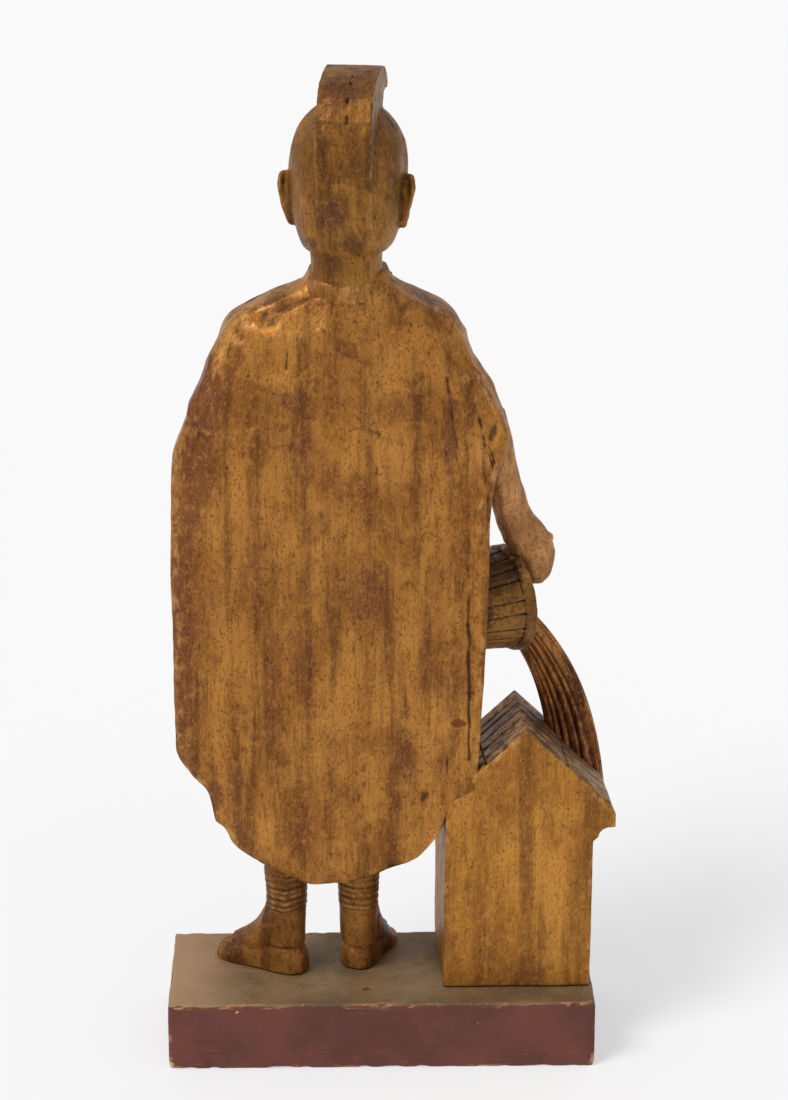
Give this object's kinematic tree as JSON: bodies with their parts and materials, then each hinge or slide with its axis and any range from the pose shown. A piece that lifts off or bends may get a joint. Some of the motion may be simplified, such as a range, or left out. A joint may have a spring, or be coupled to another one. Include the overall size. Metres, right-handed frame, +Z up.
{
  "type": "carved wooden saint florian figure on a plinth",
  "caption": "Carved and gilt-painted helmeted soldier saint in a long cape, pouring a bucket of water over a small house, on a plain board plinth; stands on its own.",
  "frame": {"origin": "centre of the plinth's underside, on the surface that the figure stands on", "axes": "+Z up; the saint faces -Y and shows their cape to +Y; +X is their left hand's side, and the bucket, the water and the house stand towards -X"},
  "size_m": [0.2027, 0.075, 0.4502],
  "materials": {
    "figure": "carved wood under worn bronze-gold paint, mottled, satin",
    "plinth": "board with matt red-brown painted sides and a dull olive-bronze top"
  },
  "bodies": {
    "root": {"figure": "figure", "plinth": "plinth"}
  },
  "joints": []
}
